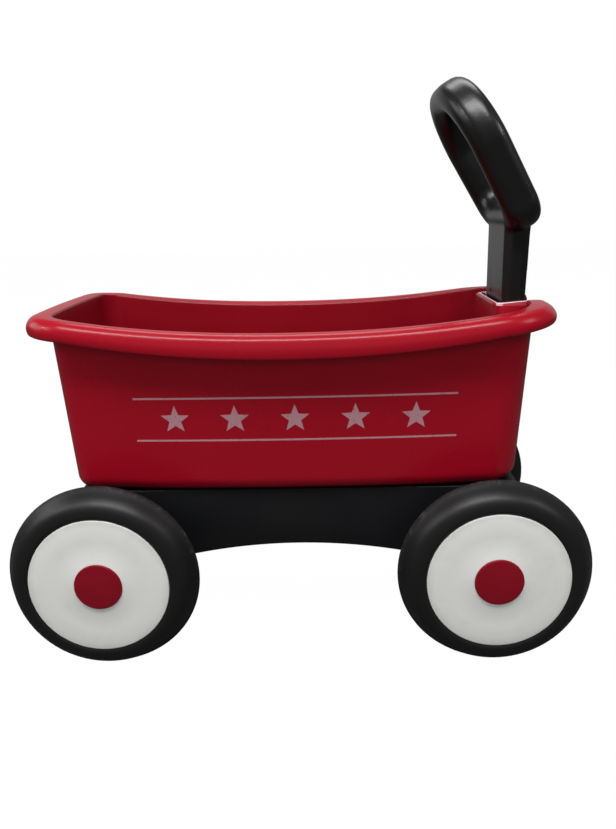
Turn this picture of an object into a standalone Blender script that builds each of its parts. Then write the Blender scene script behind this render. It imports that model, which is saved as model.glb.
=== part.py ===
"""Toddler's push-and-pull wagon: a moulded tub on an arched chassis, four wheels on two steel
axles, and a ring-grip handle that folds down outwards. Metres, +Z up, +X towards the handle,
origin on the ground below the middle of the wagon."""

import math

import bmesh
import bpy
from mathutils import Matrix, Vector

# ---- driving dimensions ----
WHEEL_R = 0.080
WHEEL_FACE_Y = 0.1365
WHEEL_DEPTH = 0.030
AXLE_X = 0.1625
AXLE_R = 0.0040
PIN_R = 0.0040
RUN_CLEARANCE = 0.00009
GAP = 0.0003
DISC_R = 0.058
DISC_T = 0.0025
CAP_R = 0.0193

RIM_HALF_LENGTH = 0.1985
RIM_HALF_WIDTH = 0.0910
FRONT_CORNER_R = 0.034
REAR_CORNER_R = 0.018
REAR_STRETCH = 1.012
RIM_MID_Z = 0.2765
RIM_RISE = 0.0170
RIM_RISE_POWER = 2.2
ROLL_R = 0.0105
ROLL_OUT = 0.0215
ROLL_END_ANGLE = -23
WALL = 0.003
TUB_BOTTOM_Z = 0.140
BOTTOM_HALF_LENGTH = 0.1940
BOTTOM_HALF_WIDTH = 0.0840
BOTTOM_EDGE_R = 0.013
SIDE_SLOPE = math.radians(4.0)
END_SLOPE = math.radians(2.5)

POCKET_X = 0.1690
POCKET_HALF_WIDTH = 0.0425
POCKET_CORNER_R = 0.0090
POCKET_TOP_Z = 0.2930
POCKET_EDGE_DROP = 0.0025
CHANNEL_X = 0.1745
CHANNEL_HALF_WIDTH = 0.0398
CHANNEL_CHAMFER = 0.0040
STOP_PAD_Z = 0.2615
STOP_PAD_HALF_WIDTH = 0.015
BOSS_R = 0.0065
BOSS_TOP_Z = TUB_BOTTOM_Z + 0.0135
PILOT_R = 0.0018

CHASSIS_TOP_Z = TUB_BOTTOM_Z - GAP
CHASSIS_HALF_LENGTH = 0.1900
CHASSIS_HALF_WIDTH = 0.0765
ARCH_TOP_Z = 0.088
ARCH_R = 0.480
SKIRT_FOOT_X = 0.166
SKIRT_CORNER_R = 0.018
RIB_T = 0.003
MID_RIB_X = 0.062
TUNNEL_R = 0.009
EAR_BACK_X = 0.1788
EAR_R = 0.0078

POST_BACK_X = 0.1780
POST_TOP_T = 0.0222
POST_FOOT_T = 0.0167
POST_FOOT_Z = 0.179
POST_HALF_W = 0.0390
POST_CHAMFER = 0.0065
HEEL_HALF_W = 0.0330
HEEL_R = 0.0082
PIVOT_X = POST_BACK_X + HEEL_R
PIVOT_Z = 0.158
NECK_Z = 0.356
BEND_X = 0.1892
BEND_Z = 0.3655
GRIP_LEAN = math.radians(29.9)
GRIP_HALF_W = 0.0690
GRIP_TOP = 0.1185
GRIP_ARM = 0.0225
GRIP_HALF_T = 0.0145
GRIP_CORNER_R = 0.058
GRIP_ROUNDING = 0.0115
GRIP_FOOT = -0.014
GRIP_FLARE = 0.018
HAND_HOLE_FOOT = 0.009
HAND_HOLE_FOOT_HALF_W = 0.026
HAND_HOLE_CORNER_R = 0.038

SCREW_R = 0.0014
SCREW_HEAD_R = 0.0042
SCREW_SPOTS = [(-0.130, -0.045), (-0.130, 0.045), (0.100, -0.045), (0.100, 0.045)]


# ---- scene, collections and materials ----
for old in list(bpy.data.objects):
    bpy.data.objects.remove(old, do_unlink=True)

wagon = bpy.data.collections.new("pull_wagon")
cutters = bpy.data.collections.new("cutters")
for collection in (wagon, cutters):
    bpy.context.scene.collection.children.link(collection)


def material(name, colour, roughness, metallic=0.0):
    made = bpy.data.materials.new(name)
    made.use_nodes = True
    shader = made.node_tree.nodes["Principled BSDF"]
    shader.inputs["Base Color"].default_value = (*colour, 1.0)
    shader.inputs["Roughness"].default_value = roughness
    shader.inputs["Metallic"].default_value = metallic
    return made


red_plastic = material("red_plastic", (0.33, 0.010, 0.022), 0.22)
black_plastic = material("black_plastic", (0.012, 0.012, 0.013), 0.38)
white_plastic = material("white_plastic", (0.60, 0.60, 0.57), 0.45)
steel = material("steel", (0.55, 0.56, 0.58), 0.35, 1.0)


# ---- making and cutting ----
def add_object(name, mesh, collection=wagon, finish=None):
    made = bpy.data.objects.new(name, mesh)
    collection.objects.link(made)
    if finish:
        mesh.materials.clear()
        mesh.materials.append(finish)
    if collection is cutters:
        made.hide_render = True
        made.display_type = "WIRE"
    return made


def mesh_from(shape, name):
    """A mesh from a bmesh, with its faces turned outwards."""
    bmesh.ops.recalc_face_normals(shape, faces=shape.faces)
    mesh = bpy.data.meshes.new(name)
    shape.to_mesh(mesh)
    shape.free()
    return mesh


def slab(outline, low, high, axis="Y"):
    """A closed solid from an outline in two axes, pulled from low to high along the third."""
    def place(u, v, w):
        return {"X": (w, u, v), "Y": (u, w, v), "Z": (u, v, w)}[axis]

    shape = bmesh.new()
    face = shape.faces.new([shape.verts.new(place(u, v, low)) for u, v in outline])
    pulled = bmesh.ops.extrude_face_region(shape, geom=[face])
    shift = Vector(place(0, 0, high - low))
    moved = [item for item in pulled["geom"] if isinstance(item, bmesh.types.BMVert)]
    bmesh.ops.translate(shape, verts=moved, vec=shift)
    return shape


def arc(centre, radius, start, end, steps):
    """Points along an arc, angles in degrees."""
    angles = [math.radians(start + (end - start) * i / steps) for i in range(steps + 1)]
    return [(centre[0] + radius * math.cos(a), centre[1] + radius * math.sin(a)) for a in angles]


def rod(name, radius, low, high, x, z, sides, collection=wagon, finish=None):
    """A round bar along Y."""
    bpy.ops.mesh.primitive_cylinder_add(
        vertices=sides, radius=radius, depth=high - low, location=(x, (low + high) / 2, z),
        rotation=(math.pi / 2, 0, 0),
    )
    return take_primitive(name, collection, finish)


def take_primitive(name, collection, finish=None):
    made = bpy.context.object
    made.name = name
    for home in list(made.users_collection):
        home.objects.unlink(made)
    collection.objects.link(made)
    if finish:
        made.data.materials.append(finish)
    if collection is cutters:
        made.hide_render = True
        made.display_type = "WIRE"
    return made


def boolean(target, tool, operation="DIFFERENCE"):
    step = target.modifiers.new(tool.name, "BOOLEAN")
    step.operation = operation
    step.object = tool


def pegs(name, low, high, low_r, high_r, sides):
    """An upright round peg at each screw's place, as one cutter."""
    shape = bmesh.new()
    for x, y in SCREW_SPOTS:
        bmesh.ops.create_cone(
            shape, cap_ends=True, segments=sides, radius1=low_r, radius2=high_r, depth=high - low,
            matrix=Matrix.Translation((x, y, (low + high) / 2)),
        )
    return add_object(name, mesh_from(shape, name), cutters)


def turned(name, profile, steps, finish, closed=True):
    """A turned shape: a profile of (radius, height) about local Z, run down its outer side."""
    shape = bmesh.new()
    points = [shape.verts.new((r, 0, h)) for r, h in profile]
    for first, second in zip(points, points[1:]):
        shape.edges.new((first, second))
    if closed:
        shape.edges.new((points[-1], points[0]))
    mesh = bpy.data.meshes.new(name)
    shape.to_mesh(mesh)
    shape.free()
    made = add_object(name, mesh, finish=finish)
    spin = made.modifiers.new("turn", "SCREW")
    spin.axis = "Z"
    spin.steps = steps
    spin.render_steps = steps
    spin.use_merge_vertices = True
    spin.merge_threshold = 0.00001
    spin.use_smooth_shade = True
    return made


# ---- tub: one closed shell of outline loops, from the bottom up the outside and down the inside ----
def quarter(half_length, half_width, radius):
    """One quarter of the plan: a bowed half end, a round corner and a bowed half side."""
    end_lean, side_lean = math.tan(END_SLOPE) / 2, math.tan(SIDE_SLOPE) / 2
    along = half_length - radius * (math.cos(END_SLOPE) + math.sin(END_SLOPE) * end_lean)
    across = half_width - radius * (math.cos(SIDE_SLOPE) + math.sin(SIDE_SLOPE) * side_lean)
    centre_x = (along - across * end_lean) / (1 - end_lean * side_lean)
    centre_y = across - centre_x * side_lean
    end_y = centre_y + radius * math.sin(END_SLOPE)
    side_x = centre_x + radius * math.sin(SIDE_SLOPE)
    points = [(half_length - end_lean * end_y * (i / 3) ** 2, end_y * i / 3) for i in range(3)]
    corner = math.degrees(END_SLOPE), 90 - math.degrees(SIDE_SLOPE)
    points += arc((centre_x, centre_y), radius, *corner, 5)
    bow = [(side_x * i / 6, side_lean * side_x * (i / 6) ** 2) for i in range(5, -1, -1)]
    return points + [(x, half_width - inward) for x, inward in bow]


def outline(half_length, half_width, grow):
    """The whole plan, counter-clockwise from the +X end, whose corners are the rounder ones. The
    rear half is a little longer than the front one."""
    front = quarter(half_length, half_width, FRONT_CORNER_R + grow)
    rear = quarter(half_length, half_width, REAR_CORNER_R + grow)
    upper = front + [(-x * REAR_STRETCH, y) for x, y in reversed(rear[:-1])]
    return upper + [(x, -y) for x, y in reversed(upper[1:-1])]


def rim_heights():
    """Height of the rim's inner edge at each point of an outline: it sags between the ends."""
    inner = outline(RIM_HALF_LENGTH, RIM_HALF_WIDTH, 0)
    return [RIM_MID_Z + RIM_RISE * (abs(x) / RIM_HALF_LENGTH) ** RIM_RISE_POWER for x, _ in inner]


def wall_loop(fraction, inset):
    """A loop of the wall, from its foot (0) to just under the rim (1)."""
    def blend(low, high):
        return low + (high - low) * fraction

    plan = outline(
        blend(BOTTOM_HALF_LENGTH, RIM_HALF_LENGTH + WALL) - inset,
        blend(BOTTOM_HALF_WIDTH, RIM_HALF_WIDTH + WALL) - inset,
        blend(0, WALL) - inset,
    )
    foot = TUB_BOTTOM_Z + BOTTOM_EDGE_R
    return [(x, y, foot + (rim - 0.006 - foot) * fraction) for (x, y), rim in zip(plan, rim_heights())]


def foot_loops(inset):
    """The rounded bottom edge, as loops from the wall down to the flat bottom."""
    radius = BOTTOM_EDGE_R - inset
    loops = []
    for angle in (30, 60, 90):
        inward = radius * (1 - math.cos(math.radians(angle))) + inset
        plan = outline(BOTTOM_HALF_LENGTH - inward, BOTTOM_HALF_WIDTH - inward, -inward)
        z = TUB_BOTTOM_Z + BOTTOM_EDGE_R - radius * math.sin(math.radians(angle))
        loops.append([(x, y, z) for x, y in plan])
    return loops


def rim_loop(outward, drop):
    plan = outline(RIM_HALF_LENGTH + outward, RIM_HALF_WIDTH + outward, outward)
    return [(x, y, rim - drop) for (x, y), rim in zip(plan, rim_heights())]


def tub_shell():
    centre = ROLL_OUT - ROLL_R
    inside_roll = [(centre + x, ROLL_R - z) for x, z in arc((0, 0), ROLL_R - WALL, 90, ROLL_END_ANGLE, 4)]
    outside_roll = [(centre + x, ROLL_R - z) for x, z in arc((0, 0), ROLL_R, ROLL_END_ANGLE, 90, 6)]
    loops = list(reversed(foot_loops(0)))
    loops += [wall_loop(i / 3, 0) for i in range(4)]
    loops += [rim_loop(out, drop) for out, drop in [(0.0055, 0.0035)] + inside_roll + outside_roll]
    loops += [rim_loop(0.0035, 0.0002), rim_loop(0.0008, 0.0012)]
    loops += [wall_loop(i / 3, WALL) for i in range(3, -1, -1)]
    loops += foot_loops(WALL)
    shape = bmesh.new()
    rings = [[shape.verts.new(point) for point in loop] for loop in loops]
    for lower, upper in zip(rings, rings[1:]):
        for i in range(len(lower)):
            j = (i + 1) % len(lower)
            shape.faces.new((lower[i], lower[j], upper[j], upper[i]))
    shape.faces.new(list(reversed(rings[0])))
    shape.faces.new(rings[-1])
    return mesh_from(shape, "tub")


def pocket_block():
    """The pocket stands inside the end wall, around the handle's post."""
    inner_floor = TUB_BOTTOM_Z + WALL / 2
    side = [
        (POCKET_X, inner_floor), (0.1760, inner_floor), (0.1835, 0.1475),
        (BOTTOM_HALF_LENGTH - WALL, 0.1560), (RIM_HALF_LENGTH + 0.0005, POCKET_TOP_Z),
        (POCKET_X, POCKET_TOP_Z - POCKET_EDGE_DROP),
    ]
    block = slab(side, -POCKET_HALF_WIDTH, POCKET_HALF_WIDTH)
    upright = []
    for edge in block.edges:
        low, high = (corner.co for corner in edge.verts)
        if abs(low.x - POCKET_X) < 1e-5 and abs(high.x - POCKET_X) < 1e-5 and abs(low.y - high.y) < 1e-5:
            upright.append(edge)
    bmesh.ops.bevel(
        block, geom=upright, offset=POCKET_CORNER_R, segments=3, profile=0.5, affect="EDGES"
    )
    return mesh_from(block, "pocket_block")


def channel():
    """The space for the post. It runs out through the end wall, so that the post can swing out."""
    back, half, chamfer = CHANNEL_X, CHANNEL_HALF_WIDTH, CHANNEL_CHAMFER
    right = [(back, chamfer - half), (back + chamfer, -half), (0.240, -half)]
    plan = right + [(x, -y) for x, y in reversed(right)]
    return mesh_from(slab(plan, TUB_BOTTOM_Z - 0.010, POCKET_TOP_Z + 0.027, "Z"), "channel")


def stop_pad():
    """The pad that the upright post leans on."""
    face_x, back_x = POST_BACK_X - GAP, CHANNEL_X - 0.001
    side = [
        (back_x, STOP_PAD_Z - 0.0065), (face_x, STOP_PAD_Z - 0.0045),
        (face_x, STOP_PAD_Z + 0.0045), (back_x, STOP_PAD_Z + 0.0065),
    ]
    return mesh_from(slab(side, -STOP_PAD_HALF_WIDTH, STOP_PAD_HALF_WIDTH), "stop_pad")


def tub():
    made = add_object("tub", tub_shell(), finish=red_plastic)
    inside_floor = TUB_BOTTOM_Z + WALL / 2
    boolean(made, pegs("floor_bosses", inside_floor, BOSS_TOP_Z, BOSS_R, BOSS_R - 0.0005, 16), "UNION")
    boolean(made, pegs("pilot_holes", TUB_BOTTOM_Z - 0.002, TUB_BOTTOM_Z + 0.010, PILOT_R, PILOT_R, 12))
    boolean(made, add_object("pocket_block", pocket_block(), cutters), "UNION")
    made.modifiers.new("split_faces", "TRIANGULATE")
    boolean(made, add_object("channel", channel(), cutters))
    boolean(made, add_object("stop_pad", stop_pad(), cutters), "UNION")


# ---- chassis: an inverted tray with arched skirts, axle tunnels and the handle's ears ----
def arch_z(x):
    return ARCH_TOP_Z - ARCH_R + math.sqrt(ARCH_R**2 - x**2)


def skirt_outline():
    """The skirt's side view: straight top and ends, round lower corners, arched bottom."""
    half = CHASSIS_HALF_LENGTH
    foot_z = arch_z(SKIRT_FOOT_X)
    centre = (half - 0.002 - SKIRT_CORNER_R, foot_z + SKIRT_CORNER_R)
    right = [(half, CHASSIS_TOP_Z)] + arc(centre, SKIRT_CORNER_R, 0, -78, 5)
    arch = [(SKIRT_FOOT_X * i / 8, arch_z(SKIRT_FOOT_X * i / 8)) for i in range(7, -8, -1)]
    return right + arch + [(-x, z) for x, z in reversed(right)]


def cross_rib(name, x, foot_z):
    half_t, half_w = RIB_T / 2, CHASSIS_HALF_WIDTH - WALL + 0.001
    top = CHASSIS_TOP_Z - 0.001
    side = [(x - half_t, foot_z), (x + half_t, foot_z), (x + half_t, top), (x - half_t, top)]
    return add_object(name, mesh_from(slab(side, -half_w, half_w), name), cutters)


def ear(side):
    """One of the two ears that hold the handle's pin. They stand in the channel."""
    foot = CHASSIS_TOP_Z - 0.001
    outline_points = [(EAR_BACK_X, foot), (PIVOT_X, foot)]
    outline_points += arc((PIVOT_X, PIVOT_Z), EAR_R, -30, 180, 9)
    low, high = sorted((side * (HEEL_HALF_W + 0.0005), side * (CHANNEL_HALF_WIDTH - 0.0005)))
    return add_object(f"ear_{side}", mesh_from(slab(outline_points, low, high), "ear"), cutters)


def chassis():
    half_w = CHASSIS_HALF_WIDTH
    made = add_object(
        "chassis", mesh_from(slab(skirt_outline(), -half_w, half_w), "chassis"), finish=black_plastic
    )
    inside_x, inside_top = CHASSIS_HALF_LENGTH - WALL, CHASSIS_TOP_Z - WALL
    hollow = [(inside_x, inside_top), (inside_x, 0.040), (-inside_x, 0.040), (-inside_x, inside_top)]
    hollow_mesh = mesh_from(slab(hollow, WALL - half_w, half_w - WALL), "chassis_hollow")
    boolean(made, add_object("chassis_hollow", hollow_mesh, cutters))
    for end in (-1, 1):
        x = end * AXLE_X
        boolean(made, cross_rib(f"axle_rib_{end}", x, WHEEL_R), "UNION")
        reach = half_w + 0.0005
        boolean(made, rod(f"axle_tunnel_{end}", TUNNEL_R, -reach, reach, x, WHEEL_R, 20, cutters), "UNION")
        boolean(made, rod(f"axle_bore_{end}", AXLE_R + GAP, -0.1, 0.1, x, WHEEL_R, 20, cutters))
        x = end * MID_RIB_X
        boolean(made, cross_rib(f"mid_rib_{end}", x, arch_z(x) + 0.012), "UNION")
        boolean(made, ear(end), "UNION")
    boolean(made, rod("pin_bore", PIN_R + GAP, -0.05, 0.05, PIVOT_X, PIVOT_Z, 20, cutters))
    hole_r = SCREW_R + 0.0007
    boolean(made, pegs("screw_holes", CHASSIS_TOP_Z - 0.010, CHASSIS_TOP_Z + 0.010, hole_r, hole_r, 12))


def tub_screws():
    for number, (x, y) in enumerate(SCREW_SPOTS, 1):
        head_top = CHASSIS_TOP_Z - WALL - GAP
        tip = TUB_BOTTOM_Z + 0.0085
        profile = [
            (0, tip), (0.0006, tip), (SCREW_R, tip - 0.0015), (SCREW_R, head_top),
            (SCREW_HEAD_R, head_top), (SCREW_HEAD_R - 0.0004, head_top - 0.0018),
            (SCREW_HEAD_R - 0.0020, head_top - 0.0026), (0, head_top - 0.0026),
        ]
        screw = turned(f"tub_screw_{number}", profile, 12, steel, closed=False)
        screw.location = (x, y, 0)


# ---- handle: a chamfered post and a leaning ring grip, moulded in one piece ----
def post():
    """The post's plan is a chamfered rectangle, and its lower end is thinner, inside the channel."""
    t, w, c = POST_TOP_T, POST_HALF_W, POST_CHAMFER
    plan = [(t, w - c), (t - c, w), (c, w), (0, w - c), (0, c - w), (c, -w), (t - c, -w), (t, c - w)]
    bar = slab([(POST_BACK_X + x, y) for x, y in plan], POST_FOOT_Z, NECK_Z, "Z")
    for point in bar.verts:
        if point.co.z < NECK_Z - 0.1 and point.co.x > POST_BACK_X + POST_TOP_T / 2:
            point.co.x -= POST_TOP_T - POST_FOOT_T
    # The mesh is shifted so that the object's origin lies on the hinge's axis.
    bmesh.ops.translate(bar, verts=bar.verts, vec=(-PIVOT_X, 0, -PIVOT_Z))
    return mesh_from(bar, "handle")


def heel():
    """The narrower round end of the post, which fits between the ears."""
    top = POST_FOOT_Z + 0.001
    side = [(POST_BACK_X + POST_FOOT_T - GAP, top), (POST_BACK_X, top)]
    side += arc((PIVOT_X, PIVOT_Z), HEEL_R, 180, 360, 10)
    return add_object("heel", mesh_from(slab(side, -HEEL_HALF_W, HEEL_HALF_W), "heel"), cutters)


def ring_outline(half_width, bottom, top, corner, foot_half):
    """The grip's outline in its own plane: a narrow foot, a flare, straight arms and a round top."""
    side = [(foot_half, bottom)]
    for i in range(1, 6):
        spread = (1 - math.cos(math.pi * i / 5)) / 2
        side.append((foot_half + (half_width - foot_half) * spread, bottom + GRIP_FLARE * i / 5))
    side += arc((half_width - corner, top - corner), corner, 0, 90, 7)
    return side + [(-y, s) for y, s in reversed(side)]


def grip():
    """The ring grip: a rounded slab with a hand hole, in the leaning plane above the bend."""
    body = ring_outline(GRIP_HALF_W, GRIP_FOOT, GRIP_TOP, GRIP_CORNER_R, POST_HALF_W)
    hole_size = GRIP_HALF_W - GRIP_ARM, HAND_HOLE_FOOT, GRIP_TOP - GRIP_ARM
    hole = ring_outline(*hole_size, HAND_HOLE_CORNER_R, HAND_HOLE_FOOT_HALF_W)
    blank = mesh_from(slab(body, -GRIP_HALF_T, GRIP_HALF_T, "X"), "grip_blank")
    made = add_object("grip_blank", blank, cutters)
    tool = add_object("hand_hole", mesh_from(slab(hole, -0.03, 0.03, "X"), "hand_hole"), cutters)
    for item in (made, tool):
        item.location = (BEND_X, 0, BEND_Z)
        item.rotation_euler = (0, -GRIP_LEAN, 0)
    boolean(made, tool)
    edges = made.modifiers.new("round", "BEVEL")
    edges.width = GRIP_ROUNDING
    edges.segments = 3
    edges.limit_method = "ANGLE"
    edges.angle_limit = math.radians(50)
    return made


def handle():
    made = add_object("handle", post(), finish=black_plastic)
    made.location = (PIVOT_X, 0, PIVOT_Z)
    boolean(made, heel(), "UNION")
    boolean(made, grip(), "UNION")
    boolean(made, rod("handle_bore", PIN_R + RUN_CLEARANCE, -0.05, 0.05, PIVOT_X, PIVOT_Z, 32, cutters))
    pin_half = CHANNEL_HALF_WIDTH - 0.0005
    rod("handle_pin", PIN_R, -pin_half, pin_half, PIVOT_X, PIVOT_Z, 24, wagon, steel)


# ---- wheels: a moulded dish closed by a pressed-in disc, and a cap over the axle's nut ----
def tyre_profile():
    """Radius and depth behind the outer face, round the whole section of the wheel."""
    rim_in = DISC_R + GAP
    seat_in = DISC_R - 0.0035
    hub_r, hub_front, hub_back = 0.012, 0.0115, 0.0577
    web = 0.0245
    bore = AXLE_R + RUN_CLEARANCE
    tread = [
        (rim_in, 0.0005), (0.0605, -0.0004), (0.0668, 0.0002), (0.0738, 0.0034), (0.0784, 0.0086),
        (WHEEL_R, 0.0146), (0.0790, 0.0204), (0.0752, 0.0258), (0.0690, 0.0292), (0.0620, WHEEL_DEPTH),
    ]
    back = [
        (0.0590, web + 0.003), (hub_r + 0.002, web + 0.003), (hub_r, web + 0.006),
        (0.0095, hub_back), (bore, hub_back),
    ]
    inside = [
        (bore, hub_front), (hub_r, hub_front), (hub_r, web - 0.001), (0.0685, web - 0.001),
        (0.0748, 0.0195), (0.0755, 0.0120), (0.0690, 0.0056), (seat_in, 0.0056),
        (seat_in, DISC_T + GAP), (rim_in, DISC_T + GAP),
    ]
    return [(r, -depth) for r, depth in tread + back + inside]


def disc_profile():
    hole, edge = CAP_R - 0.0028, 0.0008
    return [(hole, 0), (DISC_R - edge, 0), (DISC_R, -edge), (DISC_R, -DISC_T), (hole, -DISC_T)]


def cap_profile():
    """A shallow red button with a hollow barrel that presses into the disc."""
    barrel_r, barrel_foot = 0.0160, -0.0065
    return [
        (0, 0.0024), (0.0120, 0.0020), (CAP_R - 0.0010, 0.0014), (CAP_R, 0.0006), (CAP_R, GAP),
        (barrel_r + 0.0002, GAP), (barrel_r, barrel_foot), (barrel_r - 0.0017, barrel_foot),
        (barrel_r - 0.0017, -0.0002), (0, 0.0002),
    ]


def nut_profile():
    bore = AXLE_R + GAP
    return [(bore, -0.0075), (0.0060, -0.0080), (0.0090, -0.0104), (0.0085, -0.0110), (bore, -0.0092)]


def washer_profile():
    bore, rim, front, back = AXLE_R + GAP, 0.0085, -0.0580, -0.0592
    return [(bore, front), (rim, front), (rim, back), (bore, back)]


def wheel(name, x, side):
    """One wheel's pieces, held by an empty on the axle's axis, with local Z outwards."""
    hub = bpy.data.objects.new(f"wheel_{name}", None)
    wagon.objects.link(hub)
    hub.location = (x, side * WHEEL_FACE_Y, WHEEL_R)
    hub.rotation_euler = (-side * math.pi / 2, 0, 0)
    for piece in (
        turned(f"tyre_{name}", tyre_profile(), 32, black_plastic),
        turned(f"disc_{name}", disc_profile(), 28, white_plastic),
        turned(f"cap_{name}", cap_profile(), 20, red_plastic, closed=False),
        turned(f"push_nut_{name}", nut_profile(), 12, steel),
        turned(f"washer_{name}", washer_profile(), 16, steel),
    ):
        piece.parent = hub


def axles_and_wheels():
    axle_half = WHEEL_FACE_Y - 0.0060
    for end_name, end in (("front", 1), ("rear", -1)):
        x = end * AXLE_X
        rod(f"axle_{end_name}", AXLE_R, -axle_half, axle_half, x, WHEEL_R, 24, wagon, steel)
        for side_name, side in (("left", 1), ("right", -1)):
            wheel(f"{end_name}_{side_name}", x, side)


tub()
chassis()
tub_screws()
handle()
axles_and_wheels()
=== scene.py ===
"""The looks of a toddler's push-and-pull wagon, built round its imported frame: a red moulded tub on a
black arched chassis, four disc wheels on two steel axles, and a ring-grip handle that folds out."""

import math

import bpy
from mathutils import Matrix, Quaternion, Vector


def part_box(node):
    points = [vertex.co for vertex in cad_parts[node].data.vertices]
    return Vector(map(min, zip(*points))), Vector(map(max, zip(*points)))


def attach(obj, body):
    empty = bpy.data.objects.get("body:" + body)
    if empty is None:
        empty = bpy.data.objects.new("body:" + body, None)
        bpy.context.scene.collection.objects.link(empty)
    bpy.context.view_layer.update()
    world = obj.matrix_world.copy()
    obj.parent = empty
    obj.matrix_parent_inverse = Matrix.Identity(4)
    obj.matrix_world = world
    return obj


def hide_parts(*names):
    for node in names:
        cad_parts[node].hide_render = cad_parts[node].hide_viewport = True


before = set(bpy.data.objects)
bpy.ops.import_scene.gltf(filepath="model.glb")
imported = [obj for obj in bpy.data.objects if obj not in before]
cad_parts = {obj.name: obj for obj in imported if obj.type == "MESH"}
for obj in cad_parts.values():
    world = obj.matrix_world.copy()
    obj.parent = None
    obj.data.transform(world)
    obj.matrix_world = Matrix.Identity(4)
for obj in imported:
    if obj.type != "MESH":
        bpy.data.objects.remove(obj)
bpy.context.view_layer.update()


# ---- Camera: beside the wagon's long side, close to it and a little above the rim ----
CAMERA_PLACE = (0.0286, -0.6890, 0.3776)
CAMERA_YAW = math.radians(-1.694)
CAMERA_PITCH = math.radians(15.655)
CAMERA_ROLL = math.radians(1.51)
CAMERA_LENS = 32.88

camera = bpy.data.objects.new("camera", bpy.data.cameras.new("camera"))
bpy.context.scene.collection.objects.link(camera)
bpy.context.scene.camera = camera
ahead = Vector((
    math.sin(CAMERA_YAW) * math.cos(CAMERA_PITCH),
    math.cos(CAMERA_YAW) * math.cos(CAMERA_PITCH),
    -math.sin(CAMERA_PITCH),
))
camera.location = CAMERA_PLACE
camera.rotation_mode = "QUATERNION"
camera.rotation_quaternion = ahead.to_track_quat("-Z", "Y") @ Quaternion((0, 0, 1), -CAMERA_ROLL)
camera.data.sensor_fit = "VERTICAL"
camera.data.sensor_height = 36
camera.data.lens = CAMERA_LENS
camera.data.clip_start = 0.01


# ---- Tub: one deep box moulded in glossy red polypropylene. Its sides bow, its rolled rim sags in
# the middle, and a pocket stands inside the handle end, open outwards so that the post can swing.
# Screws from below hold it by four bosses in its floor. Each side has a pale printed row of stars. ----
TUB_LOW, TUB_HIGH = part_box("tub")
WALL = 0.003
ROLL_OUT = 0.0215
ROLL_R = 0.0105
ROLL_END_ANGLE = -22
CROWN = 0.0012
LIP_SAG = 0.0030
FRONT_DROOP = 0.0022
RIM_HALF_LENGTH = TUB_HIGH[0] - ROLL_OUT
RIM_HALF_WIDTH = TUB_HIGH[1] - ROLL_OUT
RIM_MID_Z = TUB_HIGH[2] - 0.0160
RIM_RISE = 0.0165
BOTTOM_HALF_LENGTH = RIM_HALF_LENGTH - 0.0045
BOTTOM_HALF_WIDTH = RIM_HALF_WIDTH - 0.0070
BOTTOM_EDGE_R = 0.013
WALL_TOP_DROP = 0.007
FOOT_Z = TUB_LOW[2] + BOTTOM_EDGE_R
SIDE_SLOPE = math.radians(4.0)
END_SLOPE = math.radians(2.5)
FRONT_CORNER_R = 0.034
REAR_CORNER_R = 0.018
REAR_STRETCH = 1.012
POCKET_X = 0.1690
POCKET_HALF_WIDTH = 0.0425
POCKET_CORNER_R = 0.009
POCKET_TOP_EDGE = 0.0012
POCKET_TOP_Z = TUB_HIGH[2] - 0.0033
CHANNEL_X = 0.1745
CHANNEL_HALF_WIDTH = 0.0398
CHANNEL_CHAMFER = 0.004
CHANNEL_MOUTH_X = 0.240
PAD_FACE_X = 0.1777
PAD_HALF_WIDTH = 0.015
PAD_LOW_Z = 0.2550
PAD_HIGH_Z = 0.2680
PAD_SLANT = 0.0020
SCREW_SPOTS = [(-0.130, -0.045), (-0.130, 0.045), (0.100, -0.045), (0.100, 0.045)]
BOSS_R = 0.0065
BOSS_LOW_Z = 0.1410
BOSS_TOP_Z = 0.1535
NEAR = 1e-4


def select_only(piece):
    for other in bpy.context.selected_objects:
        other.select_set(False)
    piece.select_set(True)
    bpy.context.view_layer.objects.active = piece


def arc(centre, radius, start, end, steps):
    angles = [math.radians(start + (end - start) * i / steps) for i in range(steps + 1)]
    return [(centre[0] + radius * math.cos(a), centre[1] + radius * math.sin(a)) for a in angles]


def quarter(half_length, half_width, radius):
    """A quarter of the plan: a bowed half end, a round corner and a bowed half side."""
    end_lean, side_lean = math.tan(END_SLOPE) / 2, math.tan(SIDE_SLOPE) / 2
    along = half_length - radius * (math.cos(END_SLOPE) + math.sin(END_SLOPE) * end_lean)
    across = half_width - radius * (math.cos(SIDE_SLOPE) + math.sin(SIDE_SLOPE) * side_lean)
    centre_x = (along - across * end_lean) / (1 - end_lean * side_lean)
    centre_y = across - centre_x * side_lean
    end_y = centre_y + radius * math.sin(END_SLOPE)
    side_x = centre_x + radius * math.sin(SIDE_SLOPE)
    points = [(half_length - end_lean * end_y * (i / 8) ** 2, end_y * i / 8) for i in range(8)]
    turn = math.degrees(END_SLOPE), 90 - math.degrees(SIDE_SLOPE)
    points += arc((centre_x, centre_y), radius, *turn, 14)
    bow = [(side_x * i / 18, side_lean * side_x * (i / 18) ** 2) for i in range(17, -1, -1)]
    return points + [(x, half_width - inward) for x, inward in bow]


def plan(half_length, half_width, grow):
    """The whole plan, counter-clockwise from the handle end, whose corners are the rounder ones."""
    front = quarter(half_length, half_width, FRONT_CORNER_R + grow)
    rear = quarter(half_length, half_width, REAR_CORNER_R + grow)
    upper = front + [(-x * REAR_STRETCH, y) for x, y in reversed(rear[:-1])]
    return upper + [(x, -y) for x, y in reversed(upper[1:-1])]


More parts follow.
